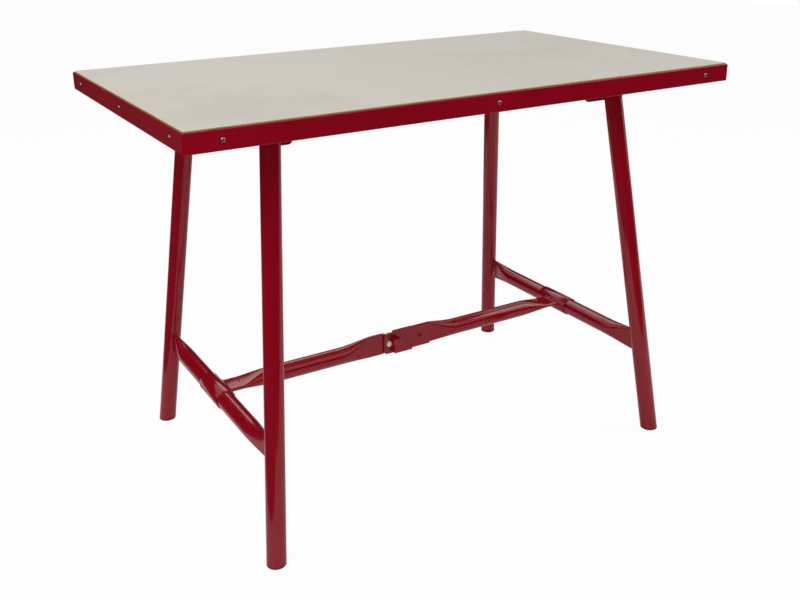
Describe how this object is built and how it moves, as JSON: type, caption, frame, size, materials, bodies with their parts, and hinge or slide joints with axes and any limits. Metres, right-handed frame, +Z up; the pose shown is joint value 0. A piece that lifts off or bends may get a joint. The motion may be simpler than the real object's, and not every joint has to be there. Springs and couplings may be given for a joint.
{
  "type": "folding workbench",
  "caption": "Folding workbench: plywood top in a red steel angle rim on splayed tube legs with pressed crossbars, joined by a stay that parts at a latched knee so both leg frames fold under.",
  "frame": {"origin": "on the floor, under the middle of the top", "axes": "+X along the long side to the right, +Y to the back, +Z up"},
  "size_m": [1.205, 0.705, 0.85],
  "materials": {
    "red_paint": "gloss powder coat",
    "plywood": "sanded, unvarnished",
    "zinc": "zinc plated",
    "black_plastic": "moulded"
  },
  "bodies": {
    "tabletop": {"plywood_top": "plywood", "front_rail": "red_paint", "back_rail": "red_paint", "left_rail": "red_paint", "right_rail": "red_paint", "front_rim_screw_1": "zinc", "front_rim_screw_2": "zinc", "front_rim_screw_3": "zinc", "back_rim_screw_1": "zinc", "back_rim_screw_2": "zinc", "back_rim_screw_3": "zinc", "left_rim_screw_1": "zinc", "left_rim_screw_2": "zinc", "left_rim_screw_3": "zinc", "right_rim_screw_1": "zinc", "right_rim_screw_2": "zinc", "right_rim_screw_3": "zinc", "front_left_hinge_bracket": "red_paint", "front_left_hinge_bolt": "red_paint", "front_left_hinge_nut": "zinc", "front_left_bracket_screw_1": "zinc", "front_left_bracket_screw_2": "zinc", "front_right_hinge_bracket": "red_paint", "front_right_hinge_bolt": "red_paint", "front_right_hinge_nut": "zinc", "front_right_bracket_screw_1": "zinc", "front_right_bracket_screw_2": "zinc", "back_left_hinge_bracket": "red_paint", "back_left_hinge_bolt": "red_paint", "back_left_hinge_nut": "zinc", "back_left_bracket_screw_1": "zinc", "back_left_bracket_screw_2": "zinc", "back_right_hinge_bracket": "red_paint", "back_right_hinge_bolt": "red_paint", "back_right_hinge_nut": "zinc", "back_right_bracket_screw_1": "zinc", "back_right_bracket_screw_2": "zinc"},
    "left_leg_frame": {"front_left_leg": "red_paint", "back_left_leg": "red_paint", "front_left_foot_plug": "black_plastic", "back_left_foot_plug": "black_plastic", "left_crossbar": "red_paint"},
    "right_leg_frame": {"front_right_leg": "red_paint", "back_right_leg": "red_paint", "front_right_foot_plug": "black_plastic", "back_right_foot_plug": "black_plastic", "right_crossbar": "red_paint"},
    "left_stay": {"left_stay_sleeve": "red_paint", "left_stay_tube": "red_paint", "left_stay_tongue": "red_paint", "knee_nut": "zinc"},
    "right_stay": {"right_stay_sleeve": "red_paint", "right_stay_tube": "red_paint", "knee_plate": "red_paint", "knee_bolt": "zinc", "plate_rivet": "red_paint", "catch_rivet": "red_paint"},
    "catch": {"catch": "red_paint"}
  },
  "joints": [
    {"name": "left_leg_fold", "type": "hinge", "parent": "tabletop", "child": "left_leg_frame", "pos_m": [-0.4, 0, 0.785], "axis": [0, -1, 0], "range_deg": [0, 95.6]},
    {"name": "right_leg_fold", "type": "hinge", "parent": "tabletop", "child": "right_leg_frame", "pos_m": [0.4, 0, 0.785], "axis": [0, 1, 0], "range_deg": [0, 79]},
    {"name": "left_stay_swing", "type": "hinge", "parent": "left_leg_frame", "child": "left_stay", "pos_m": [-0.45688, 0, 0.2125], "axis": [0, -1, 0], "range_deg": [0, 99.7]},
    {"name": "right_stay_swing", "type": "hinge", "parent": "right_leg_frame", "child": "right_stay", "pos_m": [0.45688, 0, 0.2125], "axis": [0, -1, 0], "range_deg": [0, 275.7]},
    {"name": "catch_turn", "type": "hinge", "parent": "right_stay", "child": "catch", "pos_m": [-0.002, -0.00885, 0.206], "axis": [0, 1, 0], "range_deg": [0, 20]}
  ],
  "couplings": [
    {"joint": "left_stay_swing", "follows": "left_leg_fold", "ratio": 1.0418},
    {"joint": "right_stay_swing", "follows": "right_leg_fold", "ratio": 3.4886}
  ]
}
